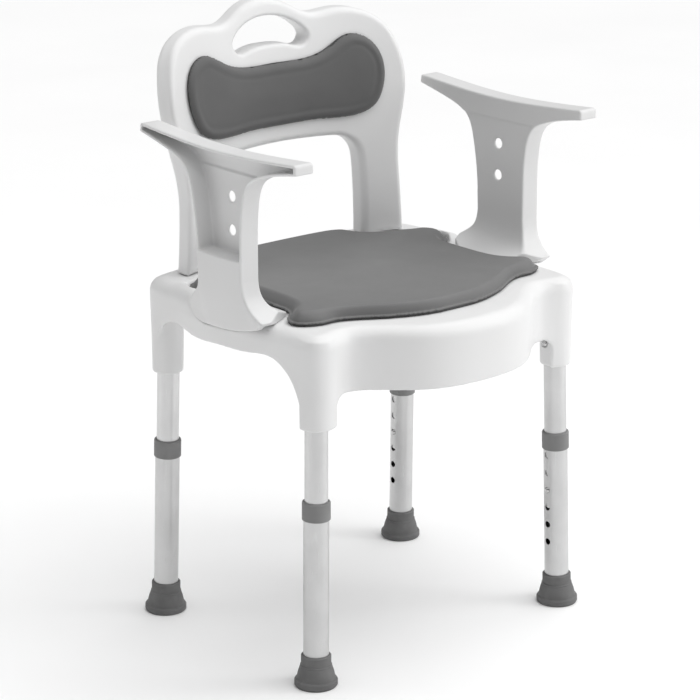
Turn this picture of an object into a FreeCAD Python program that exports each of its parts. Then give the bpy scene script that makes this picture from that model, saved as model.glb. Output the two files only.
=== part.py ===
import FreeCAD, Part
import math
import os

# Shower chair with a moulded seat on four height-adjustable legs, a plug-in backrest and
# two plug-in arms.  Millimetres.  +Z is up, -Y is the front and +X is the sitter's left.
# The origin is on the floor, at the middle of the object's plan.

V = FreeCAD.Vector

# ---- driving dimensions -------------------------------------------------------------
LOWER_TUBE_R = 16.5
UPPER_TUBE_R = 15.0
TUBE_WALL = 1.5
RUNNING_GAP = 0.05
BODY_GAP = 0.3

HOLE_PITCH = 25.0
HOLE_COUNT = 6
HOLE_R = 4.5
TOP_HOLE_S = 216.0
BUTTON_HOLE_INDEX = 2
BUTTON_R = 4.2
FLANGE_FACE = 12.2
FLANGE_THICKNESS = 1.2
FLANGE_R = 5.4
HEIGHT_BUTTON_TIP = 19.1

FOOT_R = 28.0
FOOT_TOP_R = 19.5
FOOT_HEIGHT = 42.0
FOOT_FLOOR = 8.0
WASHER_THICKNESS = 1.5
COLLAR_R = 18.3
COLLAR_BOTTOM_S = 223.5
COLLAR_TOP_S = 248.0
LOWER_TUBE_TOP_S = 243.0
UPPER_TUBE_BOTTOM_S = 140.0
UPPER_TUBE_TOP_S = 450.0
SOCKET_BUTTON_S = 375.0
SOCKET_BUTTON_TIP = 21.4

SOCKET_R = 20.0
SOCKET_BOTTOM_Z = 344.0
SEAT_TOP_Z = 466.5
SEAT_WALL = 4.5
APRON_BOTTOM_Z = 385.0
SIDE_ARCH_Z = 423.0
SEAT_EDGE_R = 18.0

PAD_BASE_THICKNESS = 3.0
SEAT_PAD_THICKNESS = 14.0
PEG_R = 4.0
PEG_LENGTH = 11.0
PAD_PEGS = [(-120, -90), (120, -90), (-120, 100), (120, 100)]

BACK_THICKNESS = 30.0
BACK_CURVE_R = 555.0
BACK_LEAN = 0.2
BACK_LEAN_GROWTH = 0.00055
BACK_FRONT_Y = 182.0
BACK_FRONT_Z = 700.0
BACK_TOP_Z = 811.0
POST_FOOT_Z = 474.0
POST_INNER_X = 129.0
POST_OUTER_X = 189.0
POST_X = 158.0
POST_PEG = (30.0, 20.0, 62.0)
POCKET_WALL = 3.0
BACK_PAD_THICKNESS = 7.0
BACK_PEG_X = 110.0
BACK_PEG_Z = 700.0
# Heights of the cross-sections that the bowed slabs are lofted through.
BACK_HEIGHTS = (POST_FOOT_Z, 540.0, 610.0, 680.0, 750.0, BACK_TOP_Z + 15)
BACK_PAD_HEIGHTS = (630.0, 680.0, 720.0, 770.0)

ARM_INNER_X = 225.5
ARM_OUTER_X = 256.5
ARM_WEB = 5.0
ARM_RIM = 4.0
ARM_LEDGE_Z = 547.0
ARM_TONGUE = (8.0, 60.0, 42.0)
ARM_TONGUE_X = 221.0
ARM_TONGUE_Y = -20.0
ARM_HOLE_R = 6.5
ARM_HOLE_Y = -14.5
ARM_HOLE_Z = (575.0, 618.6)
ARM_SKIRT_X = 238.5
ARM_LIP_X = 188.0

# Foot centres on the floor and how far each leg leans in per millimetre of height.
LEGS = {
    "front_left": (215.8, -159.3, -0.0233, 0.0204),
    "front_right": (-215.8, -159.3, 0.0233, 0.0204),
    "rear_left": (214.0, 166.3, -0.0162, -0.0293),
    "rear_right": (-214.0, 166.3, 0.0162, -0.0293),
}

# Half outlines in plan, from the front middle to the rear middle, for +X.
SEAT_PLAN = [
    (0, -241), (45, -237.5), (85, -224), (118, -200), (145, -177), (166, -168), (186, -171),
    (206, -174.5), (224, -167), (231.5, -149), (234, -116), (240, -56), (243, 4), (240, 70),
    (234, 124), (230, 156), (222, 175), (204, 184), (176, 190), (135, 202), (75, 213), (0, 217),
]
PAD_PLAN = [
    (0, -185.5), (39, -183.5), (76, -173), (109, -157), (138, -140), (158, -133.5), (180, -132.5),
    (199, -125), (210, -112), (209, -99), (202, -88), (192, -79), (184, -69), (179.5, -54), (178, -30),
    (178, 5), (180, 28), (187, 43), (200, 56), (213, 70), (217, 86), (212, 102), (200, 114), (184, 118),
    (160, 124), (140, 130), (124, 139), (115, 153), (109, 169), (95, 179), (62, 184.5), (0, 186),
]
# Backrest outlines seen from the front, as (x, z), for +X.
BACK_OUTLINE = [
    (0, BACK_TOP_Z), (40, 802), (75, 786), (108, 788), (144, 786), (180, 767), (196, 737), (202, 692),
    (195, 650), (186, 612), (184.5, 546), (POST_OUTER_X, POST_FOOT_Z),
]
BACK_OPENING = [
    (0, 621), (78, 619), (108, 613), (122, 598), (126, 575), (127.5, 530), (POST_INNER_X, POST_FOOT_Z),
]
GRAB_HOLE = [(0, 789), (36, 782), (58, 768), (64, 757), (56, 746), (34, 748), (0, 751)]
BACK_PAD_OUTLINE = [
    (0, 729), (55, 730), (87, 739), (125, 755), (150, 747), (164, 729), (168.5, 705), (163, 678),
    (149, 656), (128, 646.5), (64, 645), (0, 645),
]
# Arm outline seen from the side, as (y, z).
ARM_TOP = [(-171, 689.5), (-10, 681.5), (142, 690)]
ARM_REAR_EDGE = [(144, 678), (86, 664.5), (47, 645), (36, 617), (27, 560), (25.5, 520)]
ARM_FRONT_EDGE = [(-64, 520), (-64, 560), (-67, 617), (-78, 646), (-104, 661), (-171, 676)]
ARM_FOOT_REAR = [(25.5, 520), (31, 497), (48, 482), (56, 468), (50, 452), (20, 446), (-40, 451), (-84, 462)]
ARM_FOOT_FRONT = [(-98, 473), (-80, 484), (-68, 500), (-64, 520)]
# The arm's foot in plan, as (x, y): its front and rear edges slant away from the cushion.
ARM_FOOT_PLAN = [(ARM_LIP_X, -70), (ARM_LIP_X, 20), (204, 44), (262, 62), (262, -112), (243, -102)]


# ---- helpers ------------------------------------------------------------------------
def spline(points, closed=False):
    """A smooth edge through the points."""
    curve = Part.BSplineCurve()
    curve.interpolate(Points=[V(*p) for p in points], PeriodicFlag=closed)
    return curve.toShape()


def arch(half):
    """An open list of (a, b) points from the far end on the -a side to the end on the +a side."""
    return [(-a, b) for a, b in reversed(half[1:])] + half


def mirrored(half):
    """A full closed list of (a, b) points from the half with a >= 0."""
    return half + [(-a, b) for a, b in reversed(half[1:-1])]


def inset(points, distance):
    """The closed outline moved inwards, for points that run anticlockwise."""
    moved = []
    for i, (x, y) in enumerate(points):
        before = points[i - 1]
        after = points[(i + 1) % len(points)]
        dx = after[0] - before[0]
        dy = after[1] - before[1]
        length = math.hypot(dx, dy)
        moved.append((x - distance * dy / length, y + distance * dx / length))
    return moved


def plan_prism(half, low, high, shrink=0.0):
    """A vertical prism on a mirrored half outline in plan, drawn in by a distance."""
    edge = spline([(x, y, low) for x, y in inset(mirrored(half), shrink)], closed=True)
    return Part.Face(Part.Wire([edge])).extrude(V(0, 0, high - low))


def front_prism(outline, front, back):
    """A prism along Y on a closed (x, z) outline."""
    edge = spline([(x, front, z) for x, z in outline], closed=True)
    return Part.Face(Part.Wire([edge])).extrude(V(0, back - front, 0))


def polygon_prism(points, direction):
    """A prism on a closed polygon of 3-D points."""
    return Part.Face(Part.makePolygon([V(*p) for p in points + points[:1]])).extrude(V(*direction))


def block(low, high):
    """An axis-aligned block between two corners."""
    size = [b - a for a, b in zip(low, high)]
    return Part.makeBox(size[0], size[1], size[2], V(*low))


def turned(profile):
    """A solid of revolution about Z from a closed list of (radius, height) points."""
    points = [V(r, 0, h) for r, h in profile + profile[:1]]
    return Part.Face(Part.makePolygon(points)).revolve(V(0, 0, 0), V(0, 0, 1), 360)


def both_sides(shape):
    """The shape and its mirror image in the middle plane."""
    return [shape, shape.mirror(V(0, 0, 0), V(1, 0, 0))]


def leg_placement(name):
    """The frame of a leg: z runs up its axis and x points towards the middle of the chair."""
    x, y, lean_x, lean_y = LEGS[name]
    up = V(lean_x, lean_y, 1).normalize()
    inward = V(-math.copysign(1, x), 0, 0)
    return FreeCAD.Placement(V(x, y, 0), FreeCAD.Rotation(inward, V(0, 0, 0), up, "ZXY"))


def on_leg(name, shape):
    """A shape made in the leg's frame, moved to where it stands."""
    placed = shape.copy()
    placed.Placement = leg_placement(name).multiply(placed.Placement)
    return placed


def radial_rod(radius, start, end, height):
    """A rod in the leg's frame that points along its x axis."""
    return Part.makeCylinder(radius, end - start, V(start, 0, height), V(1, 0, 0))


# ---- legs ---------------------------------------------------------------------------
def foot_tip(name):
    """A rubber ferrule with a flared base, a ring above it and a straight sleeve."""
    grip = LOWER_TUBE_R
    solid = turned([
        (0, -3), (FOOT_R - 1.5, -3), (FOOT_R - 1.5, 0.5), (FOOT_R, 2), (FOOT_R, 7.5), (FOOT_R - 1, 9),
        (FOOT_R - 2.5, 9.5), (FOOT_R - 3, 11), (23.2, 19), (21.2, 25), (20.6, 26), (20.6, 28),
        (FOOT_TOP_R, 29), (FOOT_TOP_R, FOOT_HEIGHT - 1.5), (FOOT_TOP_R - 1.5, FOOT_HEIGHT),
        (grip, FOOT_HEIGHT), (grip, FOOT_FLOOR), (0, FOOT_FLOOR),
    ])
    placed = on_leg(name, solid)
    below_floor = block((-400, -400, -20), (400, 400, 0))
    return placed.cut(below_floor)


def foot_washer(name):
    """The steel disc that keeps the tube from punching through the rubber."""
    return on_leg(name, Part.makeCylinder(LOWER_TUBE_R, WASHER_THICKNESS, V(0, 0, FOOT_FLOOR)))


def hole_heights():
    """Where the height holes are along the leg, from the top one down."""
    return [TOP_HOLE_S - i * HOLE_PITCH for i in range(HOLE_COUNT)]


def lower_tube(name):
    """The outer, sliding tube with its row of height holes."""
    bottom = FOOT_FLOOR + WASHER_THICKNESS
    length = LOWER_TUBE_TOP_S - bottom
    tube = Part.makeCylinder(LOWER_TUBE_R, length, V(0, 0, bottom))
    tube = tube.cut(Part.makeCylinder(UPPER_TUBE_R + RUNNING_GAP, length, V(0, 0, bottom)))
    for height in hole_heights():
        tube = tube.cut(radial_rod(HOLE_R, 5, 25, height))
    return on_leg(name, tube)


def collar(name):
    """The plastic cap on the lower tube's top end, which guides the upper tube."""
    guide = UPPER_TUBE_R + RUNNING_GAP
    return on_leg(name, turned([
        (LOWER_TUBE_R, COLLAR_BOTTOM_S), (COLLAR_R - 0.8, COLLAR_BOTTOM_S),
        (COLLAR_R, COLLAR_BOTTOM_S + 0.8), (COLLAR_R, COLLAR_TOP_S - 2.0),
        (COLLAR_R - 0.6, COLLAR_TOP_S - 0.6), (COLLAR_R - 2.0, COLLAR_TOP_S),
        (guide + 0.4, COLLAR_TOP_S), (guide, COLLAR_TOP_S - 0.4),
        (guide, LOWER_TUBE_TOP_S), (LOWER_TUBE_R, LOWER_TUBE_TOP_S),
    ]))


def upper_tube(name):
    """The inner tube, plugged into the seat's socket."""
    length = UPPER_TUBE_TOP_S - UPPER_TUBE_BOTTOM_S
    tube = Part.makeCylinder(UPPER_TUBE_R, length, V(0, 0, UPPER_TUBE_BOTTOM_S))
    tube = tube.cut(Part.makeCylinder(UPPER_TUBE_R - TUBE_WALL, length, V(0, 0, UPPER_TUBE_BOTTOM_S)))
    for height in (hole_heights()[BUTTON_HOLE_INDEX], SOCKET_BUTTON_S):
        tube = tube.cut(radial_rod(BUTTON_R + 0.1, 5, 25, height))
    return on_leg(name, tube)


def snap_button(name, height, tip):
    """A domed steel button on a flange that bears on the tube's inside."""
    dome = 2.6
    shank = radial_rod(BUTTON_R, FLANGE_FACE, tip - dome, height)
    ball_r = (BUTTON_R ** 2 + dome ** 2) / (2 * dome)
    ball = Part.makeSphere(ball_r, V(tip - ball_r, 0, height))
    cap = ball.common(radial_rod(BUTTON_R, tip - dome, tip + 1, height))
    flange = radial_rod(FLANGE_R, FLANGE_FACE - FLANGE_THICKNESS, FLANGE_FACE, height)
    return on_leg(name, shank.fuse([cap, flange]).removeSplitter())


def leaf_spring(name, height):
    """A bent leaf that rises from the button's flange to the tube's far wall."""
    thick = 0.8
    width = 7.0
    near = FLANGE_FACE - FLANGE_THICKNESS
    far = -12.4
    reach = 34.0
    outer = [(near, -5), (near, 7), (5, reach), (-3, reach + 6), (far, 8)]
    inner = [(near - thick, -5), (near - thick, 6.8), (5 - thick, reach - 1.2)]
    inner += [(-3, reach + 4.6), (far + thick, 8)]
    points = [(x, -width / 2, height + s) for x, s in outer + inner[::-1]]
    return on_leg(name, polygon_prism(points, (0, width, 0)))


def make_leg(name):
    """Every piece of one leg, by its node name."""
    height = hole_heights()[BUTTON_HOLE_INDEX]
    return {
        name + "_foot_tip": foot_tip(name),
        name + "_foot_washer": foot_washer(name),
        name + "_lower_tube": lower_tube(name),
        name + "_collar": collar(name),
        name + "_upper_tube": upper_tube(name),
        name + "_height_button": snap_button(name, height, HEIGHT_BUTTON_TIP),
        name + "_height_spring": leaf_spring(name, height),
        name + "_socket_button": snap_button(name, SOCKET_BUTTON_S, SOCKET_BUTTON_TIP),
        name + "_socket_spring": leaf_spring(name, SOCKET_BUTTON_S),
    }


# ---- seat ---------------------------------------------------------------------------
def seat_outer():
    """The outside of the seat moulding before its lower edge is cut."""
    body = plan_prism(SEAT_PLAN, SOCKET_BOTTOM_Z, SEAT_TOP_Z)
    top = [e for e in body.Edges if e.BoundBox.ZMin > SEAT_TOP_Z - 1]
    return body.makeFillet(SEAT_EDGE_R, top)


def arch_cutters():
    """Bodies that cut the lower edge: one arch through front and back, one through the sides."""
    low = SOCKET_BOTTOM_Z - 10
    across = [(x, -300, z) for x, z in [(186, low), (184, 360), (174, 377), (155, APRON_BOTTOM_Z)]]
    left = [(-x, y, z) for x, y, z in reversed(across)]
    front = Part.Wire([spline(across), Part.makeLine(V(*across[-1]), V(*left[0])), spline(left),
                       Part.makeLine(V(*left[-1]), V(*across[0]))])
    along = [(-300, y, z) for y, z in [(-146, low), (-145, 376), (-132, 404), (-98, 427), (0, SIDE_ARCH_Z)]]
    rear = [(0, SIDE_ARCH_Z), (70, 421), (106, 427), (142, 410), (158, 385), (160, low)]
    rest = [(-300, y, z) for y, z in rear]
    side = Part.Wire([spline(along), spline(rest), Part.makeLine(V(*rest[-1]), V(*along[0]))])
    return [Part.Face(front).extrude(V(0, 600, 0)), Part.Face(side).extrude(V(600, 0, 0))]


def seat_hollow():
    """The open underside, inside the skirt."""
    hollow = plan_prism(SEAT_PLAN, SOCKET_BOTTOM_Z - 5, SEAT_TOP_Z - SEAT_WALL, SEAT_WALL)
    side_limit = ARM_INNER_X + 7
    return hollow.common(block((-side_limit, -300, 300), (side_limit, 300, 500)))


def seat_ribs():
    """Stiffening ribs under the seat's top."""
    low = SEAT_TOP_Z - 26
    high = SEAT_TOP_Z - SEAT_WALL
    ribs = [block((x - 1.5, -225, low), (x + 1.5, 205, high)) for x in (-90, 0, 90)]
    ribs += [block((-205, y - 1.5, low), (205, y + 1.5, high)) for y in (-95, 10, 110)]
    return ribs


def post_pocket(margin, depth_extra, top):
    """The block round one backrest peg, grown by a margin."""
    dx, dy, dz = POST_PEG
    y = post_peg_y()
    low = (POST_X - dx / 2 - margin, y - dy / 2 - margin, POST_FOOT_Z - dz - depth_extra)
    high = (POST_X + dx / 2 + margin, y + dy / 2 + margin, top)
    return block(low, high)


def post_peg_y():
    """Middle of the backrest post at its foot."""
    return back_front_y(POST_X, POST_FOOT_Z) + BACK_THICKNESS / 2


def post_plinths():
    """The raised steps on the seat's rear corners that the posts stand on."""
    low = SEAT_TOP_Z - 6
    high = POST_FOOT_Z - BODY_GAP
    slab = curved_slab(0, BACK_THICKNESS, (low, high))
    return both_sides(slab.common(block((POST_INNER_X, 0, low), (POST_OUTER_X, 300, high))))


def arm_tongue(margin, depth_extra, top):
    """The block round one arm's tongue, grown by a margin."""
    dx, dy, dz = ARM_TONGUE
    low = (ARM_TONGUE_X - dx / 2 - margin, ARM_TONGUE_Y - dy / 2 - margin, SEAT_TOP_Z - dz - depth_extra)
    high = (ARM_TONGUE_X + dx / 2 + margin, ARM_TONGUE_Y + dy / 2 + margin, top)
    return block(low, high)


def pad_peg_holes(radius):
    """Rods that cut the holes for the seat cushion's pegs."""
    return [Part.makeCylinder(radius, 40, V(x, y, SEAT_TOP_Z - 30)) for x, y in PAD_PEGS]


def seat_shell():
    """The seat: top, skirt, four leg sockets and the pockets for arms and backrest."""
    shell = seat_outer()
    hollow = seat_hollow()
    for cutter in arch_cutters():
        shell = shell.cut(cutter)
    shell = shell.cut(hollow)
    added = seat_ribs()
    for name in LEGS:
        socket = Part.makeCylinder(SOCKET_R, SEAT_TOP_Z - 12 - SOCKET_BOTTOM_Z, V(0, 0, SOCKET_BOTTOM_Z))
        added.append(on_leg(name, socket))
    added += both_sides(post_pocket(BODY_GAP + POCKET_WALL, POCKET_WALL, SEAT_TOP_Z - 1))
    added += both_sides(arm_tongue(BODY_GAP + POCKET_WALL, POCKET_WALL, SEAT_TOP_Z - 1))
    shell = shell.fuse([piece.common(seat_envelope()) for piece in added] + post_plinths())
    for name in LEGS:
        bore = Part.makeCylinder(UPPER_TUBE_R + RUNNING_GAP, UPPER_TUBE_TOP_S - 330, V(0, 0, 330))
        shell = shell.cut(on_leg(name, bore))
        shell = shell.cut(on_leg(name, radial_rod(BUTTON_R + 0.6, 5, 30, SOCKET_BUTTON_S)))
    cuts = both_sides(post_pocket(BODY_GAP, BODY_GAP, POST_FOOT_Z))
    cuts += both_sides(arm_tongue(BODY_GAP, BODY_GAP, SEAT_TOP_Z + 5))
    cuts += pad_peg_holes(PEG_R + 0.3)
    cuts += both_sides(arm_side_recess())
    cuts.append(block((-400, -400, 0), (400, 400, SOCKET_BOTTOM_Z)))
    return shell.cut(cuts).removeSplitter()


def seat_envelope():
    """A slightly shrunken outside, so that inner features never stand out of the skirt."""
    return plan_prism(SEAT_PLAN, SOCKET_BOTTOM_Z, SEAT_TOP_Z - 0.5, 1.0)


# ---- pads ---------------------------------------------------------------------------
def seat_pad_base():
    """The thin board under the seat cushion, with pegs that plug into the seat."""
    low = SEAT_TOP_Z + BODY_GAP
    base = plan_prism(PAD_PLAN, low, low + PAD_BASE_THICKNESS)
    pegs = [Part.makeCylinder(PEG_R, PEG_LENGTH + 1, V(x, y, low - PEG_LENGTH)) for x, y in PAD_PEGS]
    return base.fuse(pegs).removeSplitter()


def seat_pad():
    """The seat cushion's foam, bonded to its board."""
    low = SEAT_TOP_Z + BODY_GAP + PAD_BASE_THICKNESS
    return plan_prism(PAD_PLAN, low, low + SEAT_PAD_THICKNESS, 2.0)


# ---- backrest -----------------------------------------------------------------------
def back_front_y(x, z):
    """Where the backrest's front face lies: bowed across, and leaning back more towards the top."""
    rise = z - BACK_FRONT_Z
    bow = BACK_CURVE_R - math.sqrt(BACK_CURVE_R ** 2 - x ** 2)
    return BACK_FRONT_Y + BACK_LEAN * rise + BACK_LEAN_GROWTH * rise ** 2 - bow


def curved_slab(near, far, heights):
    """A slab bowed round the sitter, between two distances behind the backrest's front face."""
    half = 230.0
    sections = []
    for z in heights:
        ends = []
        edges = []
        for offset in (near, far):
            side_y = back_front_y(half, z) + offset
            points = [V(-half, side_y, z), V(0, back_front_y(0, z) + offset, z), V(half, side_y, z)]
            edges.append(Part.Arc(*points).toShape())
            ends.append(points)
        edges.append(Part.makeLine(ends[0][0], ends[1][0]))
        edges.append(Part.makeLine(ends[0][2], ends[1][2]))
        sections.append(Part.Wire(Part.__sortEdges__(edges)))
    return Part.makeLoft(sections, True)


def arched_prism(half):
    """A prism along Y under an arch of (x, z) points, closed by a straight line at its foot."""
    points = [V(x, -50, z) for x, z in arch(half)]
    curve = spline([(x, -50, z) for x, z in arch(half)])
    base = Part.makeLine(points[-1], points[0])
    return Part.Face(Part.Wire([curve, base])).extrude(V(0, 400, 0))


def backrest_shell():
    """The backrest moulding with its grab hole and two posts that end in pegs."""
    slab = curved_slab(0, BACK_THICKNESS, BACK_HEIGHTS)
    shell = slab.common(arched_prism(BACK_OUTLINE)).cut(arched_prism(BACK_OPENING))
    shell = shell.cut(front_prism(mirrored(GRAB_HOLE), -50, 350))
    pegs = both_sides(post_pocket(0, 0, POST_FOOT_Z + 5))
    shell = shell.fuse(pegs)
    holes = []
    for x in (-BACK_PEG_X, BACK_PEG_X):
        y = back_front_y(x, BACK_PEG_Z)
        holes.append(Part.makeCylinder(PEG_R + 0.3, 20, V(x, y - 5, BACK_PEG_Z), V(0, 1, 0)))
    return shell.cut(holes).removeSplitter()


def backrest_pad_base():
    """The thin board behind the back cushion, with pegs that plug into the backrest."""
    board = curved_slab(-PAD_BASE_THICKNESS, 0, BACK_PAD_HEIGHTS)
    board = board.common(front_prism(mirrored(BACK_PAD_OUTLINE), -50, 350))
    pegs = []
    for x in (-BACK_PEG_X, BACK_PEG_X):
        y = back_front_y(x, BACK_PEG_Z)
        pegs.append(Part.makeCylinder(PEG_R, PEG_LENGTH, V(x, y - 2, BACK_PEG_Z), V(0, 1, 0)))
    return board.fuse(pegs).removeSplitter()


def backrest_pad():
    """The back cushion's foam, bonded to its board."""
    foam = curved_slab(-PAD_BASE_THICKNESS - BACK_PAD_THICKNESS, -PAD_BASE_THICKNESS, BACK_PAD_HEIGHTS)
    return foam.common(front_prism(mirrored(BACK_PAD_OUTLINE), -50, 350))


# ---- arms ---------------------------------------------------------------------------
def side_face(x, segments, grow=0.0):
    """A face at one x from segments of (y, z) points that run clockwise, grown by a distance.

    Each segment is a spline, and a straight line joins it to the next.
    """
    flat = [point for points in segments for point in points]
    moved = inset(flat, grow)
    edges = []
    start = 0
    for points in segments:
        placed = [(x, y, z) for y, z in moved[start:start + len(points)]]
        edges.append(spline(placed))
        start += len(points)
        follow = moved[start % len(moved)]
        if math.dist(placed[-1][1:], follow) > 0.01:
            edges.append(Part.makeLine(V(*placed[-1]), V(x, *follow)))
    return Part.Face(Part.Wire(edges))


def arm_upper_face(x, grow=0.0):
    """The armrest and post seen from the side, above the foot."""
    return side_face(x, [ARM_TOP, ARM_REAR_EDGE, ARM_FRONT_EDGE], grow)


def arm_foot_face(x, grow=0.0):
    """The arm's foot seen from the side."""
    return side_face(x, [ARM_FOOT_REAR, ARM_FOOT_FRONT], grow)


def arm_foot_section():
    """The foot seen from the front, as (x, z): a lip over the seat and a wall down its side."""
    lip = SEAT_TOP_Z + BODY_GAP
    return [
        (ARM_INNER_X, 521), (ARM_INNER_X, 505), (ARM_INNER_X - 3, 493), (ARM_INNER_X - 9, 485),
        (ARM_INNER_X - 20, 478), (ARM_LIP_X, 471.8), (ARM_LIP_X, lip), (ARM_SKIRT_X, lip), (ARM_SKIRT_X, 440), (244, 440), (247.5, 455),
        (252.5, 475), (256, 498), (ARM_OUTER_X + 1, 521),
    ]


def arm():
    """The left arm: armrest and post as a channel open to the outside, and a foot."""
    upper = arm_upper_face(ARM_INNER_X).extrude(V(ARM_OUTER_X - ARM_INNER_X, 0, 0))
    channel = arm_upper_face(ARM_INNER_X + ARM_WEB, -ARM_RIM).extrude(V(60, 0, 0))
    channel = channel.cut(block((0, -300, 400), (400, 300, ARM_LEDGE_Z)))
    upper = upper.cut(channel)
    section = [(x, -200, z) for x, z in arm_foot_section()]
    foot = polygon_prism(section, (0, 400, 0)).common(arm_foot_face(150).extrude(V(150, 0, 0)))
    foot = foot.common(polygon_prism([(x, y, 430) for x, y in ARM_FOOT_PLAN], (0, 0, 100)))
    tongue = arm_tongue(0, 0, SEAT_TOP_Z + 5)
    holes = [
        Part.makeCylinder(ARM_HOLE_R, 60, V(200, ARM_HOLE_Y, z), V(1, 0, 0)) for z in ARM_HOLE_Z
    ]
    return upper.fuse([foot, tongue]).cut(holes).removeSplitter()


def arm_side_recess():
    """The step in the seat's side that takes the wall of the arm's foot, open above."""
    step = arm_foot_face(ARM_SKIRT_X - BODY_GAP, BODY_GAP).extrude(V(60, 0, 0))
    raised = [step.translated(V(0, 0, lift)) for lift in (8, 16)]
    return step.fuse(raised)


# ---- all parts ----------------------------------------------------------------------
def make_parts():
    """Every piece of the chair, by its node name."""
    left_arm = arm()
    parts = {
        "seat_shell": seat_shell(),
        "seat_pad_base": seat_pad_base(),
        "seat_pad": seat_pad(),
        "backrest_shell": backrest_shell(),
        "backrest_pad_base": backrest_pad_base(),
        "backrest_pad": backrest_pad(),
        "left_arm": left_arm,
        "right_arm": left_arm.mirror(V(0, 0, 0), V(1, 0, 0)),
    }
    for name in LEGS:
        parts.update(make_leg(name))
    return parts


def main():
    """Writes one STEP file per piece and prints the chair's box."""
    os.makedirs("parts", exist_ok=True)
    whole = FreeCAD.BoundBox()
    for name, shape in make_parts().items():
        whole.add(shape.BoundBox)
        print(name, shape.isValid(), len(shape.Solids), round(shape.Volume / 1000, 2), "cm3")
        shape.exportStep("parts/" + name + ".step")
    print("box", whole)


main()
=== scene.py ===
import math

import bpy
import numpy as np
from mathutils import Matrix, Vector


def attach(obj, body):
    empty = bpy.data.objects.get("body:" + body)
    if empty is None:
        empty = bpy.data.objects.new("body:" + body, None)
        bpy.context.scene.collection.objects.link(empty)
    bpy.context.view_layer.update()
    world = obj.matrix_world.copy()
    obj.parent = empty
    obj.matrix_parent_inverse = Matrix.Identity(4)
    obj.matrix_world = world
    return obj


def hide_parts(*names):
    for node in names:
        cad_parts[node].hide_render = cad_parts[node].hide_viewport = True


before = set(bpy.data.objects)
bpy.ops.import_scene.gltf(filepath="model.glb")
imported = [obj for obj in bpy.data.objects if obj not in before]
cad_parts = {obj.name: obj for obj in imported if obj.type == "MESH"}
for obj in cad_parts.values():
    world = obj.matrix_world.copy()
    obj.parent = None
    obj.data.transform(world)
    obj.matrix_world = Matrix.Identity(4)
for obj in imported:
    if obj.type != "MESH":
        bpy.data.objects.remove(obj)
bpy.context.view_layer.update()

# Looks for the shower chair.  Moulded pieces are smooth surfaces of distance fields, written in
# millimetres in the row frame and turned into meshes in metres.  Both halves of the chair are
# mirror images, so the fields of the seat, backrest and cushions work on |x|, and one arm is copied.

MM = 0.001
COARSE = 1.0

LEG_NAMES = ("front_left", "front_right", "rear_left", "rear_right")

# ---- driving dimensions, in millimetres ---------------------------------------------
SEAT_TOP = 466.5
SEAT_WALL = 4.5
SEAT_EDGE_R = 19.0
SOCKET_R = 20.0
SOCKET_BOTTOM = 344.0
SOCKET_ROOT_Z = 458.0
BORE_R = 15.3
BORE_END = 452.0
SOCKET_BUTTON_ALONG = 375.0
SOCKET_BUTTON_HOLE_R = 5.0
APRON_BOTTOM = 385.0
FRONT_ARCH_X = 187.0
FRONT_ARCH_R = 15.0
# The skirt spreads below this height, more beside the arms.
SKIRT_FLARE_TOP = 446.0
SKIRT_FLARE = 0.03
SKIRT_FLARE_BESIDE = 0.12
# Raised rear corners round the cushion: a ridge beside its lobes and a lower shelf behind them.
RIDGE_RISE = 10.0
RIDGE_DROP = 0.28
SHELF_RISE = 7.1
# Foot centre and lean per millimetre of height, on the +x side.
FRONT_LEG = (215.8, -159.3, -0.0233, 0.0204)
REAR_LEG = (214.0, 166.3, -0.0162, -0.0293)

SEAT_PLAN = [
    (0, -241), (45, -237.5), (85, -224), (118, -200), (145, -177), (166, -168), (186, -171),
    (206, -174.5), (224, -167), (231.5, -149), (234, -116), (240, -56), (243, 4), (240, 70),
    (234, 124), (230, 156), (222, 175), (204, 184), (176, 190), (135, 202), (75, 213), (0, 217),
]
SIDE_ARCH = [
    (-146, 376), (-132, 404), (-98, 426), (-50, 424), (10, 421), (70, 420), (106, 427),
    (142, 410), (158, 385),
]
PAD_PLAN = [
    (0, -185.5), (39, -183.5), (76, -173), (109, -157), (138, -140), (158, -133.5), (180, -132.5),
    (199, -125), (210, -112), (209, -99), (202, -88), (192, -79), (184, -69), (179.5, -54), (178, -30),
    (178, 5), (180, 28), (187, 43), (200, 56), (213, 70), (217, 86), (212, 102), (200, 114), (184, 118),
    (160, 124), (140, 130), (124, 139), (115, 153), (109, 169), (95, 179), (62, 184.5), (0, 186),
]
BACK_OUTLINE = [
    (0, 811), (40, 802), (75, 786), (108, 788), (144, 786), (180, 767), (196, 737), (202, 692),
    (195, 650), (186, 612), (184.5, 546), (189, 474),
]
BACK_OPENING = [(0, 621), (78, 619), (108, 613), (122, 598), (126, 575), (127.5, 530), (129, 474)]
GRAB_HOLE = [(0, 789), (36, 782), (58, 768), (64, 757), (56, 746), (34, 748), (0, 751)]
BACK_PAD_OUTLINE = [
    (0, 729), (55, 730), (87, 739), (125, 755), (150, 747), (164, 729), (168.5, 705), (163, 678),
    (149, 656), (128, 646.5), (64, 645), (0, 645),
]
BACK_THICKNESS = 30.0
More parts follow.
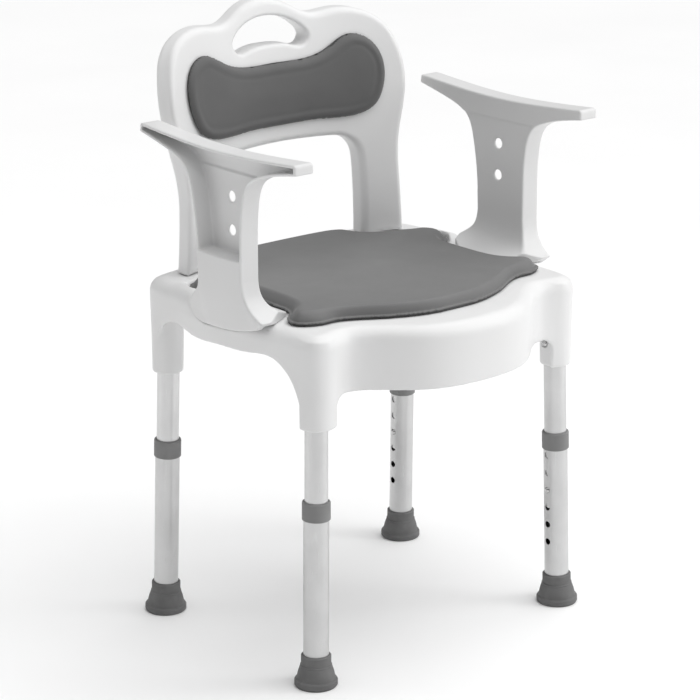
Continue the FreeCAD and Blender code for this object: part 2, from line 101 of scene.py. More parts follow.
# The front face: its place at a height, how it leans and curls back, and its curve from side to side.
BACK_FACE_Y = 182.0
BACK_FACE_Z = 700.0
BACK_LEAN = 0.2
BACK_CURL = 0.00055
BACK_CURVE_R = 555.0
BACK_FLARE = 6.0
BACK_EDGE_R = 9.0
GRAB_EDGE_R = 4.5
POST_FOOT = 474.0
POST_PEG = ((143, 147.3, 412), (173, 167.3, 485))
ARM_TOP = [(-171, 689.5), (-10, 681.5), (142, 690)]
ARM_REAR_EDGE = [(144, 678), (86, 664.5), (47, 645), (36, 617), (27, 560), (25.5, 520)]
ARM_FRONT_EDGE = [(-64, 520), (-64, 560), (-67, 617), (-78, 646), (-104, 661), (-171, 676)]
ARM_FOOT_REAR = [
    (25.5, 520), (31, 497), (48, 482), (56, 468), (50, 452), (20, 446), (-40, 451), (-84, 462),
]
ARM_FOOT_FRONT = [(-98, 473), (-80, 484), (-68, 500), (-64, 520)]
ARM_INNER = 225.5
ARM_OUTER = 256.5
ARM_WEB = 5.0
ARM_RIM = 3.6
ARM_LEDGE = 547.0
ARM_LIP = 188.0
ARM_POST_INNER = 226.7
ARM_SKIRT = 238.5
# Section of an arm's foot: the inner curve, the straight underside, and the outer curve.
ARM_FOOT_INNER = [
    (226.7, 549), (226.7, 522), (226, 508), (224, 498), (219.5, 489), (212, 482), (201, 476.5),
    (ARM_LIP, 472.5),
]
ARM_FOOT_UNDERSIDE = [
    (ARM_LIP, 466.9), (ARM_LIP + 1, 466.7), (ARM_SKIRT, 466.7), (ARM_SKIRT, 440), (243, 440),
]
ARM_FOOT_OUTER = [(246, 452), (250.5, 473), (254, 495), (255.7, 521), (255.7, 549)]
ARM_FOOT_PLAN = [(ARM_LIP, -70), (ARM_LIP, 20), (204, 44), (262, 62), (262, -112), (243, -102)]
ARM_FRONT_END = (-171.0, 689.3)
ARM_REAR_END = (143.5, 689.8)
ARM_END_R = 4.5
ARM_EDGE_R = 2.6
ARM_BULGE = 2.2
ARM_FLUSH = 3.5
ARM_TONGUE = ((217, -50, 424.5), (225, 10, 475))
ARM_HOLE_R = 6.9
ARM_HOLE_Y = -14.5
ARM_HOLE_Z = (575.0, 618.6)
SEAT_PAD_LOW = 466.8
SEAT_PAD_BASE = 3.0
FLANGE_TOP = 471.9
FLANGE_WIDTH = 4.4
CUSHION_TOP = 484.2
SEAT_PAD_CROWN = 2.0
# The foam's edge is this wide, and this much wider beside the arms.
SEAT_PAD_SWELL = 8.0
SEAT_PAD_SWELL_BESIDE = 7.0
SEAT_PAD_PEG_X = 120
SEAT_PAD_PEG_FRONT_Y = -90
SEAT_PAD_PEG_REAR_Y = 100
SEAT_PAD_PEG_R = 4.0
SEAT_PAD_PEG_LOW = 455.8
BACK_PAD_EDGE = 3.6
BACK_PAD_SWELL = 7.2
BACK_PAD_SWELL_WIDTH = 11.0


# ---- curves and distance maps -------------------------------------------------------
def smooth_through(points, closed, steps=14):
    """A curve with continuous curvature through the points."""
    p = np.array(points, float)
    if closed:
        p = np.vstack([p, p[:1]])
    chord = np.hypot(*np.diff(p, axis=0).T)
    n = len(p)
    matrix = np.zeros((n, n))
    right = np.zeros((n, 2))
    slope = np.diff(p, axis=0) / chord[:, None]
    for i in range(1, n - 1):
        matrix[i, i - 1] = chord[i]
        matrix[i, i] = 2 * (chord[i - 1] + chord[i])
        matrix[i, i + 1] = chord[i - 1]
        right[i] = 3 * (chord[i] * slope[i - 1] + chord[i - 1] * slope[i])
    if closed:
        matrix[0, [0, -1]] = 1, -1
        matrix[-1, 0] = 2 * chord[-1]
        matrix[-1, 1] = chord[-1]
        matrix[-1, -1] = 2 * chord[0]
        matrix[-1, -2] = chord[0]
        right[-1] = 3 * (chord[-1] * slope[0] + chord[0] * slope[-1])
    else:
        matrix[0, :2] = 2, 1
        right[0] = 3 * slope[0]
        matrix[-1, -2:] = 1, 2
        right[-1] = 3 * slope[-1]
    tangent = np.linalg.solve(matrix, right)
    rows = []
    u = np.linspace(0, 1, steps, endpoint=False)[:, None]
    for i, length in enumerate(chord):
        ta = tangent[i] * length
        tb = tangent[i + 1] * length
        rows.append((2 * u**3 - 3 * u**2 + 1) * p[i] + (u**3 - 2 * u**2 + u) * ta
                    + (3 * u**2 - 2 * u**3) * p[i + 1] + (u**3 - u**2) * tb)
    curve = np.vstack(rows)
    return curve if closed else np.vstack([curve, p[-1:]])


def mirrored(half):
    """A closed outline from its half with x of 0 or more, whose ends lie on x = 0."""
    return half + [(-a, b) for a, b in reversed(half[1:-1])]


def arch(half):
    """An open outline from its half with x of 0 or more, which starts on x = 0."""
    return [(-a, b) for a, b in reversed(half[1:])] + half


class DistanceMap:
    """Signed distance to a closed outline, negative inside, looked up from a fine grid."""

    def __init__(self, outline, reach=60.0, step=1.25):
        ring = np.asarray(outline, float)
        self.low = ring.min(0) - reach
        self.step = step
        counts = np.ceil((ring.max(0) + reach - self.low) / step).astype(int) + 1
        a, b = np.meshgrid(*(self.low[i] + step * np.arange(counts[i]) for i in (0, 1)), indexing="ij")
        best = np.full(a.shape, 1e9)
        inside = np.zeros(a.shape, bool)
        for (x0, y0), (x1, y1) in zip(ring, np.roll(ring, -1, 0)):
            dx = x1 - x0
            dy = y1 - y0
            size = dx * dx + dy * dy
            if size < 1e-12:
                continue
            t = np.clip(((a - x0) * dx + (b - y0) * dy) / size, 0, 1)
            best = np.minimum(best, (a - x0 - t * dx) ** 2 + (b - y0 - t * dy) ** 2)
            if y0 != y1:
                crosses = (b > min(y0, y1)) & (b <= max(y0, y1))
                inside ^= crosses & (a < x0 + (b - y0) * dx / dy)
        self.values = np.sqrt(best) * np.where(inside, -1, 1)

    def __call__(self, a, b):
        u = (a - self.low[0]) / self.step
        v = (b - self.low[1]) / self.step
        rows, columns = self.values.shape
        u = np.clip(u, 0, rows - 1.001)
        v = np.clip(v, 0, columns - 1.001)
        i = u.astype(int)
        j = v.astype(int)
        fu = u - i
        fv = v - j
        grid = self.values
        low = grid[i, j] * (1 - fu) + grid[i + 1, j] * fu
        high = grid[i, j + 1] * (1 - fu) + grid[i + 1, j + 1] * fu
        return low * (1 - fv) + high * fv


# ---- field tools --------------------------------------------------------------------
def blend_min(a, b, width):
    """Union with a rounded inner corner."""
    h = np.maximum(width - np.abs(a - b), 0) / width
    return np.minimum(a, b) - h * h * width / 4


def blend_max(a, b, width):
    """Intersection with a rounded edge."""
    return -blend_min(-a, -b, width)


def rounded_meet(a, b, radius):
    """Where two half spaces meet, with the edge rounded to a radius."""
    a = a + radius
    b = b + radius
    return np.minimum(np.maximum(a, b), 0) + np.hypot(np.maximum(a, 0), np.maximum(b, 0)) - radius


def box_field(x, y, z, low, high, radius=0.0):
    """Distance to a block with rounded edges."""
    q = [np.abs(v - (a + b) / 2) - (b - a) / 2 + radius for v, a, b in zip((x, y, z), low, high)]
    outside = np.sqrt(sum(np.maximum(v, 0) ** 2 for v in q))
    return outside + np.minimum(np.maximum(np.maximum(q[0], q[1]), q[2]), 0) - radius


def step_up(v, start, end):
    """0 before start, 1 after end, smooth between."""
    t = np.clip((v - start) / (end - start), 0, 1)
    return t * t * (3 - 2 * t)


CORNERS = [(i, j, k) for i in (0, 1) for j in (0, 1) for k in (0, 1)]
CELL_EDGES = [(a, b) for a in range(8) for b in range(a + 1, 8)
              if sum(abs(p - q) for p, q in zip(CORNERS[a], CORNERS[b])) == 1]


def surface_net(field, low, high, cell):
    """Vertices and quads where the field is zero, inside a box."""
    low = np.array(low, float)
    counts = np.ceil((np.array(high) - low) / cell).astype(int) + 1
    axes = [low[i] + cell * np.arange(counts[i]) for i in range(3)]
    values = np.empty(counts, np.float32)
    for i in range(0, counts[0], 24):
        grid = np.meshgrid(axes[0][i:i + 24], axes[1], axes[2], indexing="ij")
        values[i:i + 24] = field(*grid)
    inside = values < 0
    total = np.zeros(counts - 1, np.int8)
    for i, j, k in CORNERS:
        total += inside[i:counts[0] - 1 + i, j:counts[1] - 1 + j, k:counts[2] - 1 + k]
    active = np.argwhere((total > 0) & (total < 8))
    corner = np.stack([values[tuple((active + c).T)] for c in CORNERS], 1).astype(float)
    place = np.zeros((len(active), 3))
    hits = np.zeros(len(active))
    for a, b in CELL_EDGES:
        crossed = (corner[:, a] < 0) != (corner[:, b] < 0)
        gap = np.where(crossed, corner[:, a] - corner[:, b], 1)
        t = np.where(crossed, corner[:, a] / gap, 0)
        point = np.array(CORNERS[a]) + t[:, None] * (np.array(CORNERS[b]) - CORNERS[a])
        place += point * crossed[:, None]
        hits += crossed
    vertices = low + cell * (active + place / hits[:, None])
    index = np.full(counts - 1, -1, np.int64)
    index[tuple(active.T)] = np.arange(len(active))
    quads = []
    for axis in range(3):
        u = (axis + 1) % 3
        v = (axis + 2) % 3
        here = [slice(None)] * 3
        there = [slice(None)] * 3
        here[axis] = slice(0, -1)
        there[axis] = slice(1, None)
        change = inside[tuple(here)] != inside[tuple(there)]
        at = np.argwhere(change)
        at = at[(at[:, u] > 0) & (at[:, v] > 0) & (at[:, u] < counts[u] - 1) & (at[:, v] < counts[v] - 1)]
        ring = []
        for du, dv in ((1, 1), (0, 1), (0, 0), (1, 0)):
            cell_at = at.copy()
            cell_at[:, u] -= du
            cell_at[:, v] -= dv
            ring.append(index[tuple(cell_at.T)])
        ring = np.stack(ring, 1)
        flip = ~inside[tuple(at.T)]
        ring[flip] = ring[flip][:, ::-1]
        quads.append(ring)
    return vertices, np.vstack(quads)


def settle(field, vertices, quads, cell, rounds=3):
    """Evens out the vertices and puts them exactly on the field's surface."""
    edges = np.unique(np.sort(np.vstack([quads[:, [i, (i + 1) % 4]] for i in range(4)]), 1), axis=0)
    degree = np.bincount(edges.ravel(), minlength=len(vertices))[:, None]
    nudge = cell * 0.1
    for turn in range(rounds):
        if turn:
            total = np.zeros_like(vertices)
            for a, b in ((0, 1), (1, 0)):
                for c in range(3):
                    total[:, c] += np.bincount(edges[:, a], vertices[edges[:, b], c], len(vertices))
            vertices = vertices * 0.5 + 0.5 * total / degree
        for _ in range(2):
            x, y, z = vertices.T
            value = field(x, y, z)
            slope = np.stack([
                field(x + nudge, y, z) - field(x - nudge, y, z),
                field(x, y + nudge, z) - field(x, y - nudge, z),
                field(x, y, z + nudge) - field(x, y, z - nudge),
            ], 1) / (2 * nudge)
            size = np.maximum((slope ** 2).sum(1), 0.2)
            move = slope * (value / size)[:, None]
            length = np.linalg.norm(move, axis=1, keepdims=True)
            move *= np.minimum(1, cell * 0.6 / np.maximum(length, 1e-9))
            vertices = vertices - move
    return vertices


def mesh_object(name, vertices, faces):
    """An object from vertices in metres and faces of equal size."""
    faces = np.asarray(faces)
    mesh = bpy.data.meshes.new(name)
    mesh.vertices.add(len(vertices))
    mesh.vertices.foreach_set("co", np.asarray(vertices, np.float32).ravel())
    mesh.loops.add(faces.size)
    mesh.loops.foreach_set("vertex_index", faces.ravel().astype(np.int32))
    mesh.polygons.add(len(faces))
    mesh.polygons.foreach_set("loop_start", np.arange(0, faces.size, faces.shape[1], dtype=np.int32))
    mesh.polygons.foreach_set("use_smooth", np.ones(len(faces), bool))
    mesh.update(calc_edges=True)
    mesh.validate()
    made = bpy.data.objects.new(name, mesh)
    bpy.context.scene.collection.objects.link(made)
    return made


def field_object(name, field, low, high, cell):
    """A piece of the chair from a field in millimetres."""
    cell *= COARSE
    vertices, quads = surface_net(field, low, high, cell)
    vertices = settle(field, vertices, quads, cell)
    return mesh_object(name, vertices * MM, quads)


def mirror_copy(source, name):
    """The same piece on the other side of the chair."""
    count = len(source.data.vertices)
    vertices = np.empty(count * 3, np.float32)
    source.data.vertices.foreach_get("co", vertices)
    vertices = vertices.reshape(-1, 3) * (-1, 1, 1)
    faces = np.empty(len(source.data.loops), np.int32)
    source.data.loops.foreach_get("vertex_index", faces)
    return mesh_object(name, vertices, faces.reshape(-1, 4)[:, ::-1])


# ---- seat ---------------------------------------------------------------------------
seat_plan = DistanceMap(smooth_through(mirrored(SEAT_PLAN), True))
pad_plan = DistanceMap(smooth_through(mirrored(PAD_PLAN), True), step=1.0)
arch_curve = smooth_through(SIDE_ARCH, False)
side_arch = DistanceMap(np.vstack([[(-146, 300)], arch_curve, [(160, 340), (160, 300)]]))


def arm_foot_ring():
    """The foot from the side, with the post's edges up to a point above the ledge."""
    rear = smooth_through(ARM_FOOT_REAR, False)
    front = smooth_through(ARM_FOOT_FRONT, False)
    return np.vstack([ARM_REAR_EDGE[4], rear, front, ARM_FRONT_EDGE[1]])


arm_foot_side = DistanceMap(arm_foot_ring())


def leg_distance(x, y, z, leg):
    """Distance from a leg's axis, and distance along it from the floor."""
    foot_x, foot_y, lean_x, lean_y = leg
    axis = np.array([lean_x, lean_y, 1.0])
    axis /= np.linalg.norm(axis)
    dx = x - foot_x
    dy = y - foot_y
    along = dx * axis[0] + dy * axis[1] + z * axis[2]
    return np.sqrt(np.maximum(dx * dx + dy * dy + z * z - along * along, 0)), along


def back_front(x, z):
    """Y of the backrest's front face."""
    rise = z - BACK_FACE_Z
    middle = BACK_FACE_Y + BACK_LEAN * rise + BACK_CURL * rise ** 2
    return middle - BACK_CURVE_R + np.sqrt(BACK_CURVE_R ** 2 - np.minimum(x ** 2, 9e4))


def seat_top(x, y):
    """Height of the seat's top: flat under the cushion, raised in the rear corners round it."""
    ridge = RIDGE_RISE * step_up(x, 203, 213) * step_up(y, 48, 76) * (1 - RIDGE_DROP * step_up(y, 100, 128))
    shelf = SHELF_RISE * step_up(x, 124, 132) * step_up(y, 112, 122)
    return SEAT_TOP + np.maximum(ridge, shelf) * step_up(pad_plan(x, y), 0.6, 3.4)


def seat_field(x, y, z):
    """The seat moulding: a hollow shell with a skirt, arches, leg sockets and recesses for the arms."""
    x = np.abs(x)
    top = seat_top(x, y)
    low_part = np.maximum(SKIRT_FLARE_TOP - z, 0)
    beside = step_up(x, 205, 232) * step_up(120 - np.abs(y), 0, 45)
    wall = seat_plan(x, y) + low_part * (SKIRT_FLARE + SKIRT_FLARE_BESIDE * beside)
    outer = rounded_meet(wall, z - top, SEAT_EDGE_R)
    hollow = rounded_meet(wall + SEAT_WALL, z - SEAT_TOP + SEAT_WALL, SEAT_EDGE_R - SEAT_WALL)
    front_arch = rounded_meet(x - FRONT_ARCH_X, z - APRON_BOTTOM, FRONT_ARCH_R)
    shell = blend_max(outer, -front_arch, 2.0)
    shell = blend_max(shell, -side_arch(y, z), 2.0)
    shell = blend_max(shell, -hollow, 1.5)
    for leg in (FRONT_LEG, REAR_LEG):
        radial, _ = leg_distance(x, y, z, leg)
        column = blend_max(radial - SOCKET_R, z - SOCKET_ROOT_Z, 2.0)
        shell = blend_min(shell, column, 7.0)
    shell = blend_max(shell, SOCKET_BOTTOM - z, 3.0)
    for leg in (FRONT_LEG, REAR_LEG):
        radial, along = leg_distance(x, y, z, leg)
        shell = blend_max(shell, -np.maximum(radial - BORE_R, along - BORE_END), 1.0)
        foot_x, foot_y, lean_x, lean_y = leg
        from_button = np.hypot(along - SOCKET_BUTTON_ALONG, y - foot_y - lean_y * z)
        button_hole = np.maximum(from_button - SOCKET_BUTTON_HOLE_R, x - foot_x - lean_x * z)
        shell = blend_max(shell, -button_hole, 1.0)
    lift = np.minimum(arm_foot_side(y, z), arm_foot_side(y, z - 10))
    recess = np.maximum(np.minimum(lift, arm_foot_side(y, z - 20)) - 0.3, ARM_SKIRT - 0.8 - x)
    return blend_max(shell, -recess, 0.6)


# ---- arms ---------------------------------------------------------------------------
arm_side = DistanceMap(np.vstack([
    smooth_through(ARM_TOP, False),
    smooth_through(ARM_REAR_EDGE, False),
    smooth_through(ARM_FRONT_EDGE, False),
]))


def arm_profile(y, z):
    """The armrest and post from the side, with the armrest's ends rounded."""
    side = arm_side(y, z)
    front = rounded_meet(ARM_FRONT_END[0] - y, z - ARM_FRONT_END[1], ARM_END_R)
    rear = rounded_meet(y - ARM_REAR_END[0], z - ARM_REAR_END[1], ARM_END_R)
    return np.maximum(side, np.maximum(front, rear))


foot_section = DistanceMap(np.vstack([
    smooth_through(ARM_FOOT_INNER, False),
    ARM_FOOT_UNDERSIDE,
    smooth_through(ARM_FOOT_OUTER, False),
]), step=0.8)
foot_plan = DistanceMap(np.array(ARM_FOOT_PLAN), step=1.0)


def arm_field(x, y, z):
    """The left arm: an armrest and post with a channel outside, a flared foot, holes and a tongue."""
    side = arm_profile(y, z)
    below = 1 - step_up(z, ARM_LEDGE - 1.5, ARM_LEDGE + 0.5)
    bulge = ARM_BULGE * np.maximum(1 - ((y + 19.0) / 48.0) ** 2, 0) * below
    inner = ARM_POST_INNER + (ARM_INNER - ARM_POST_INNER) * step_up(z, 651.5, 654.5)
    web = ARM_INNER + ARM_WEB - 2.2 * step_up(z, 649.5, 653)
    depth = np.maximum(inner - x, x - ARM_OUTER + 0.8 - bulge)
    upper = rounded_meet(side, depth, ARM_EDGE_R)
    channel = blend_max(blend_max(side + ARM_RIM, web - x, 4.0), ARM_LEDGE - z, 3.0)
    upper = blend_max(upper, -channel, 1.0)
    flush = ARM_FLUSH * step_up(y, 8, 50) * (1 - step_up(z, 480, 520))
    section = foot_section(x - bulge * step_up(x, 241, 250) + flush * step_up(x, 241, 246), z)
    foot = blend_max(rounded_meet(section, arm_foot_side(y, z), ARM_EDGE_R), foot_plan(x, y), 1.2)
    foot = np.maximum(foot, z - ARM_LEDGE)
    arm = np.minimum(upper, foot)
    for hole_z in ARM_HOLE_Z:
        arm = blend_max(arm, ARM_HOLE_R - np.hypot(y - ARM_HOLE_Y, z - hole_z), 2.4)
    tongue = box_field(x, y, z, *ARM_TONGUE, 1.5)
    return np.minimum(arm, tongue)


# ---- backrest -----------------------------------------------------------------------
back_outline = DistanceMap(smooth_through(arch(BACK_OUTLINE), False))
opening_curve = smooth_through(arch(BACK_OPENING), False)
back_opening = DistanceMap(np.vstack([opening_curve, [(129, 400), (-129, 400)]]))
grab_hole = DistanceMap(smooth_through(mirrored(GRAB_HOLE), True))
back_pad = DistanceMap(smooth_through(mirrored(BACK_PAD_OUTLINE), True))


def back_field(x, y, z):
    """The backrest moulding: a curved slab with two posts, an opening, a grab hole and pegs."""
    x = np.abs(x)
    behind = y - back_front(x, z)
    flare = step_up(z, 560, 640) * (1 - step_up(z, 745, 790))
    outline = back_outline(x, z) - BACK_FLARE * step_up(behind, 6, BACK_THICKNESS) * flare
    panel = blend_max(outline, -back_opening(x, z), 3.0)
    slab = np.abs(behind - BACK_THICKNESS / 2) - BACK_THICKNESS / 2
    shell = rounded_meet(panel, slab, BACK_EDGE_R)
    shell = rounded_meet(shell, -grab_hole(x, z), GRAB_EDGE_R)
    shell = blend_max(shell, POST_FOOT - z, 2.0)
    peg = box_field(x, y, z, *POST_PEG, 2.0)
    return np.minimum(shell, peg)


# ---- cushions -----------------------------------------------------------------------
def swell(inward, width):
    """0 at a cushion's edge, rising to 1 over a width."""
    t = np.clip(inward / width, 0, 1)
    return 1 - (1 - t) ** 2.3


def pad_base_field(x, y, z):
    """The seat cushion's board, a little smaller than the foam, with four pegs."""
    edge = pad_plan(np.abs(x), y) + 1.6
    middle = SEAT_PAD_LOW + SEAT_PAD_BASE / 2
    board_edge = rounded_meet(edge, np.abs(z - middle) - SEAT_PAD_BASE / 2, 1.0)
    from_peg_y = np.minimum(np.abs(y - SEAT_PAD_PEG_FRONT_Y), np.abs(y - SEAT_PAD_PEG_REAR_Y))
    pegs = np.hypot(np.abs(x) - SEAT_PAD_PEG_X, from_peg_y) - SEAT_PAD_PEG_R
    pegs = np.maximum(np.maximum(pegs, SEAT_PAD_PEG_LOW - z), z - 468)
    return np.minimum(board_edge, pegs)


def pad_field(x, y, z):
    """Foam with a thin flange round it, a crowned top and wide soft sides beside the arms."""
    edge = pad_plan(np.abs(x), y)
    inward = -edge - FLANGE_WIDTH
    width = SEAT_PAD_SWELL + SEAT_PAD_SWELL_BESIDE * step_up(np.abs(x), 148, 186)
    crown = SEAT_PAD_CROWN * (1 - step_up(np.hypot(x, y * 1.1), 10, 190))
    groove = 0.9 * np.exp(-((inward + 0.3) / 1.0) ** 2)
    top = FLANGE_TOP - groove + (CUSHION_TOP - FLANGE_TOP + crown) * swell(inward, width)
    bottom = SEAT_PAD_LOW + SEAT_PAD_BASE + 0.05
    return np.maximum(rounded_meet(edge, (z - top) * 0.6, 0.8), bottom - z)


def back_pad_base_field(x, y, z):
    """The back cushion's board, bent like the backrest's front face."""
    front = y - back_front(np.abs(x), z)
    return rounded_meet(back_pad(np.abs(x), z) + 1.0, np.abs(front + 1.6) - 1.5, 1.0)


def back_pad_field(x, y, z):
    """Foam with a full rounded border and a shallow channel inside it."""
    edge = back_pad(np.abs(x), z)
    front = back_front(np.abs(x), z) - y
    channel = 0.55 * np.exp(-((edge + 15.0) / 3.2) ** 2)
    crown = 1.0 * step_up(-edge, 15, 42)
    top = BACK_PAD_EDGE + BACK_PAD_SWELL * swell(-edge, BACK_PAD_SWELL_WIDTH) - channel + crown
    return np.maximum(rounded_meet(edge, (front - top) * 0.7, 0.8), 3.15 - front)


# ---- materials ----------------------------------------------------------------------
def linear(value):
    """A display grey from 0 to 1 as a linear one."""
    return ((value + 0.055) / 1.055) ** 2.4 if value > 0.04 else value / 12.92


def grey(value, warm=0.0):
    v = linear(value)
    return (v * (1 + warm), v, v * (1 - warm), 1.0)


class Shader:
    """A material with one Principled shader and helpers for adding nodes."""

    def __init__(self, name, **constants):
        self.material = bpy.data.materials.new(name)
        self.material.use_nodes = True
        self.tree = self.material.node_tree
        self.shader = self.tree.nodes["Principled BSDF"]
        for socket, value in constants.items():
            self.shader.inputs[socket.replace("_", " ")].default_value = value
        coordinates = self.tree.nodes.new("ShaderNodeTexCoord")
        self.place = coordinates.outputs["Object"]

    def node(self, kind, **settings):
        made = self.tree.nodes.new(kind)
        for key, value in settings.items():
            setattr(made, key, value)
        return made

    def link(self, a, b):
        self.tree.links.new(a, b)

    def noise(self, scale, detail=3.0, stretch=None, roughness=0.5):
        texture = self.node("ShaderNodeTexNoise")
        texture.inputs["Scale"].default_value = scale
        texture.inputs["Detail"].default_value = detail
        texture.inputs["Roughness"].default_value = roughness
        source = self.place
        if stretch:
            mapping = self.node("ShaderNodeMapping")
            mapping.inputs["Scale"].default_value = stretch
            self.link(source, mapping.inputs["Vector"])
            source = mapping.outputs["Vector"]
        self.link(source, texture.inputs["Vector"])
        return texture.outputs["Fac"]

    def mixed(self, factor, a, b):
        made = self.node("ShaderNodeMix", data_type="RGBA")
        self.link(factor, made.inputs["Factor"])
        for value, index in ((a, 6), (b, 7)):
            if isinstance(value, tuple):
                made.inputs[index].default_value = value
            else:
                self.link(value, made.inputs[index])
        return made.outputs[2]

    def span(self, source, low, high):
        made = self.node("ShaderNodeMapRange")
        made.inputs["To Min"].default_value = low
        made.inputs["To Max"].default_value = high
        made.inputs["From Min"].default_value = 0.3
        made.inputs["From Max"].default_value = 0.7
        self.link(source, made.inputs["Value"])
        return made.outputs["Result"]

    def bump(self, source, distance, strength=1.0, under=None):
        made = self.node("ShaderNodeBump")
        made.inputs["Distance"].default_value = distance
        made.inputs["Strength"].default_value = strength
        self.link(source, made.inputs["Height"])
        if under:
            self.link(under, made.inputs["Normal"])
        return made.outputs["Normal"]

    def set(self, socket, source):
        self.link(source, self.shader.inputs[socket])


def white_plastic(name, shade):
    """Satin moulded plastic: a fine orange-peel grain and faint cloudiness."""
    s = Shader(name, Specular_IOR_Level=0.45, IOR=1.49)
    cloud = s.noise(6.0, 4.0)
    colour = s.mixed(s.span(cloud, 0, 1), grey(shade - 0.008, 0.002), grey(shade + 0.006, -0.002))
    s.set("Base Color", colour)
    s.set("Roughness", s.span(s.noise(35.0, 5.0), 0.36, 0.46))
    peel = s.bump(s.noise(420.0, 2.0), 0.00005, 0.5)
    s.set("Normal", s.bump(s.noise(1900.0, 2.0), 0.00002, 0.5, peel))
    return s.material


def soft_foam(name, shade):
    """Integral-skin foam: matt, with a pebbled grain and a faint sheen."""
    s = Shader(name, Specular_IOR_Level=0.4, Sheen_Weight=0.12, Sheen_Roughness=0.5)
    cloud = s.noise(9.0, 5.0)
    s.set("Base Color", s.mixed(s.span(cloud, 0, 1), grey(shade - 0.012), grey(shade + 0.012)))
    s.set("Roughness", s.span(s.noise(14.0, 4.0), 0.5, 0.62))
    cells = s.node("ShaderNodeTexVoronoi", feature="SMOOTH_F1")
    cells.inputs["Scale"].default_value = 900.0
    s.link(s.place, cells.inputs["Vector"])
    grain = s.bump(cells.outputs["Distance"], 0.00009, 0.5)
    s.set("Normal", s.bump(s.noise(160.0, 3.0), 0.00012, 0.35, grain))
    return s.material


# Dark grey board under each cushion. The boards are real parts; their dark colour is painted shade for the
# shadowed gap under the cushions' flanges.
def dark_board(name):
    s = Shader(name, Specular_IOR_Level=0.35)
    s.set("Base Color", s.mixed(s.span(s.noise(20.0, 4.0), 0, 1), grey(0.27), grey(0.31)))
    s.set("Roughness", s.span(s.noise(60.0, 3.0), 0.5, 0.65))
    s.set("Normal", s.bump(s.noise(700.0, 2.0), 0.00005, 0.5))
    return s.material


def satin_aluminium(name, shade):
    """Anodised tube with faint lengthwise drawing lines."""
    s = Shader(name, Metallic=1.0)
    lines = s.noise(90.0, 3.0, stretch=(14.0, 14.0, 0.25))
    smudge = s.noise(22.0, 4.0)
    s.set("Base Color", s.mixed(s.span(smudge, 0, 1), grey(shade - 0.02), grey(shade + 0.015)))
    s.set("Roughness", s.span(lines, 0.27, 0.4))
    s.set("Normal", s.bump(lines, 0.00002, 0.35))
    return s.material


def grey_plastic(name, shade):
    s = Shader(name, Specular_IOR_Level=0.4)
    cloud = s.span(s.noise(30.0, 4.0), 0, 1)
    s.set("Base Color", s.mixed(cloud, grey(shade - 0.015), grey(shade + 0.015)))
    s.set("Roughness", s.span(s.noise(80.0, 3.0), 0.48, 0.62))
    s.set("Normal", s.bump(s.noise(900.0, 2.0), 0.00004, 0.5))
    return s.material


def grey_rubber(name, shade):
    s = Shader(name, Specular_IOR_Level=0.3)
    dust = s.noise(45.0, 6.0)
    s.set("Base Color", s.mixed(s.span(dust, 0, 1), grey(shade - 0.02), grey(shade + 0.025)))
    s.set("Roughness", s.span(s.noise(70.0, 4.0), 0.6, 0.78))
    s.set("Normal", s.bump(s.noise(650.0, 3.0), 0.00008, 0.6))
    return s.material


def steel(name, shade, low, high):
    s = Shader(name, Metallic=1.0)
    cloud = s.span(s.noise(120.0, 3.0), 0, 1)
    s.set("Base Color", s.mixed(cloud, grey(shade - 0.03), grey(shade + 0.02)))
    s.set("Roughness", s.span(s.noise(200.0, 3.0), low, high))
    s.set("Normal", s.bump(s.noise(900.0, 2.0), 0.00001, 0.4))
    return s.material


def paint(obj, material):
    obj.data.materials.clear()
    obj.data.materials.append(material)


# ---- build the pieces ---------------------------------------------------------------
white = white_plastic("white_moulding", 0.89)
# Painted shade: the arms get a darker copy of the same white plastic, standing in for the shade that falls
# on their faces.
arm_white_painted_shade = white_plastic("arm_moulding", 0.86)
back_white = white_plastic("backrest_moulding", 0.89)
seat_foam = soft_foam("seat_cushion_foam", 0.43)
back_foam = soft_foam("back_cushion_foam", 0.345)
# Painted shade: the boards' dark colour shows as the shadowed gap under the cushions' flanges.
board = dark_board("pad_board")
upper_metal = satin_aluminium("upper_tubes", 0.80)
lower_metal = satin_aluminium("lower_tubes", 0.79)
collar_grey = grey_plastic("collars", 0.50)
foot_grey = grey_rubber("rubber_feet", 0.42)
button_steel = steel("steel_buttons", 0.78, 0.15, 0.25)
spring_metal = steel("spring_steel", 0.62, 0.3, 0.45)
washer_metal = steel("steel_washers", 0.7, 0.3, 0.4)


def add_piece(name, field, low, high, cell, body, nodes, material):
    """A moulded piece from its field, inside a box with room round it, riding on a body."""
    made = field_object(name, field, low, high, cell)
    paint(made, material)
    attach(made, body)
    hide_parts(*nodes)
    return made


add_piece("seat_moulding", seat_field, (-248, -246, 340), (248, 222, 479), 2.2, "seat", ["seat_shell"],
          white)
left_arm = add_piece("left_arm_moulding", arm_field, (184, -176, 420), (262, 150, 694), 1.6, "left_arm",
                     ["left_arm"], arm_white_painted_shade)
right_arm = mirror_copy(left_arm, "right_arm_moulding")
paint(right_arm, arm_white_painted_shade)
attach(right_arm, "right_arm")
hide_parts("right_arm")
add_piece("backrest_moulding", back_field, (-212, 118, 408), (212, 250, 815), 2.2, "backrest",
          ["backrest_shell"], back_white)
seat_cushion = add_piece("seat_cushion", pad_field, (-240, -190, 466), (240, 210, 490), 2.0, "seat_cushion",
                         ["seat_pad"], seat_foam)
add_piece("seat_cushion_board", pad_base_field, (-240, -190, 452), (240, 210, 472), 1.6, "seat_cushion",
          ["seat_pad_base"], board)
back_cushion = add_piece("back_cushion", back_pad_field, (-172, 120, 638), (172, 200, 762), 1.8, "backrest",
                         ["backrest_pad"], back_foam)
add_piece("back_cushion_board", back_pad_base_field, (-172, 130, 638), (172, 205, 762), 1.4, "backrest",
          ["backrest_pad_base"], board)

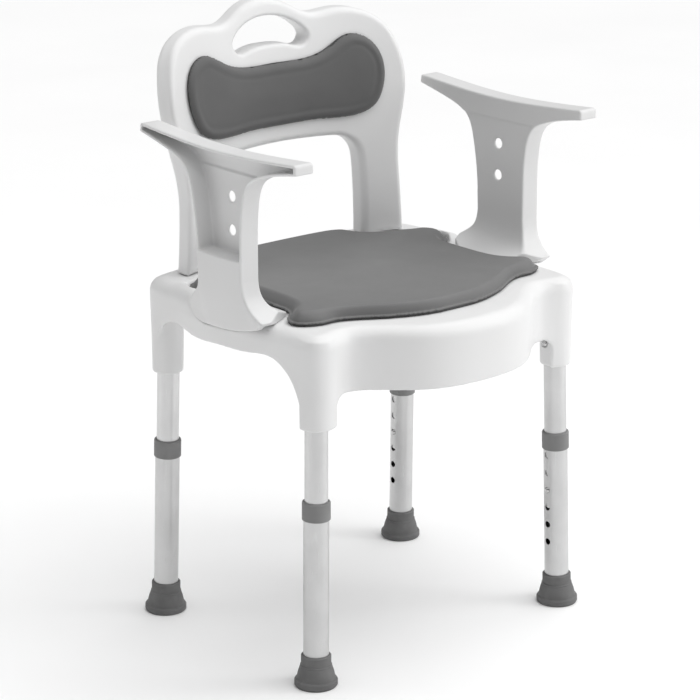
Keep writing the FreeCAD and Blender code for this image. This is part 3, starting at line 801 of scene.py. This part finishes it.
LEG_PARTS = {
    "upper_tube": upper_metal,
    "lower_tube": lower_metal,
    "collar": collar_grey,
    "foot_tip": foot_grey,
    "foot_washer": washer_metal,
    "height_button": button_steel,
    "socket_button": button_steel,
    "height_spring": spring_metal,
    "socket_spring": spring_metal,
}
for leg_name in LEG_NAMES:
    for part, material in LEG_PARTS.items():
        paint(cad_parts[leg_name + "_" + part], material)


# ---- floor, light and camera --------------------------------------------------------
WORLD_STRENGTH = 0.25
FLOOR_HALF = 14.0
CAMERA_PLACE = (-2.2162, -2.5879, 1.4312)
CAMERA_AZIMUTH = -40.27
CAMERA_TILT = 17.34
CAMERA_LENS = 137.5
CAMERA_SENSOR = 36.0


def studio():
    """Plain pale surroundings and floor."""
    world = bpy.data.worlds.new("studio")
    bpy.context.scene.world = world
    world.use_nodes = True
    background = world.node_tree.nodes["Background"]
    background.inputs["Color"].default_value = (1, 1, 1, 1)
    background.inputs["Strength"].default_value = WORLD_STRENGTH
    signs = ((-1, -1), (1, -1), (1, 1), (-1, 1))
    vertices = [(a * FLOOR_HALF, b * FLOOR_HALF, 0) for a, b in signs]
    floor = mesh_object("floor", np.array(vertices), np.array([[0, 1, 2, 3]]))
    s = Shader("floor", Roughness=0.6, Specular_IOR_Level=0.2)
    cloud = s.span(s.noise(2.0, 2.0), 0, 1)
    s.set("Base Color", s.mixed(cloud, (0.93, 0.93, 0.93, 1), (0.95, 0.95, 0.95, 1)))
    paint(floor, s.material)


def area_light(name, place, target, size, watts):
    """A soft rectangular light that the camera does not see."""
    light = bpy.data.lights.new(name, "AREA")
    light.shape = "RECTANGLE"
    light.size, light.size_y = size
    light.energy = watts
    made = bpy.data.objects.new(name, light)
    made.location = place
    made.rotation_euler = (Vector(target) - Vector(place)).to_track_quat("-Z", "Y").to_euler()
    made.visible_camera = False
    bpy.context.scene.collection.objects.link(made)


def sun_light(name, place, spread, strength):
    """Even light from a wide source far away, in the direction of a place."""
    light = bpy.data.lights.new(name, "SUN")
    light.energy = strength
    light.angle = math.radians(spread)
    made = bpy.data.objects.new(name, light)
    made.rotation_euler = Vector(place).to_track_quat("Z", "Y").to_euler()
    bpy.context.scene.collection.objects.link(made)


def main_camera():
    """A long lens from the front right of the sitter, a little above the armrests."""
    camera = bpy.data.cameras.new("camera")
    camera.lens = CAMERA_LENS
    camera.sensor_width = CAMERA_SENSOR
    made = bpy.data.objects.new("camera", camera)
    azimuth = math.radians(CAMERA_AZIMUTH)
    tilt = math.radians(CAMERA_TILT)
    made.location = CAMERA_PLACE
    level = math.cos(tilt)
    aim = Vector((-math.sin(azimuth) * level, math.cos(azimuth) * level, -math.sin(tilt)))
    made.rotation_euler = aim.to_track_quat("-Z", "Y").to_euler()
    bpy.context.scene.collection.objects.link(made)
    bpy.context.scene.camera = made


studio()
sun_light("overhead", place=(0.4, -0.3, 1.5), spread=85, strength=2.75)
area_light("front_right", place=(1.9, -1.7, 1.3), target=(0, 0, 0.5), size=(1.0, 1.6), watts=17)
area_light("rear_left", place=(-1.45, 1.0, 0.75), target=(-0.1, -0.1, 0.45), size=(0.8, 1.1), watts=2.5)
main_camera()
bpy.context.scene.view_settings.view_transform = "Standard"
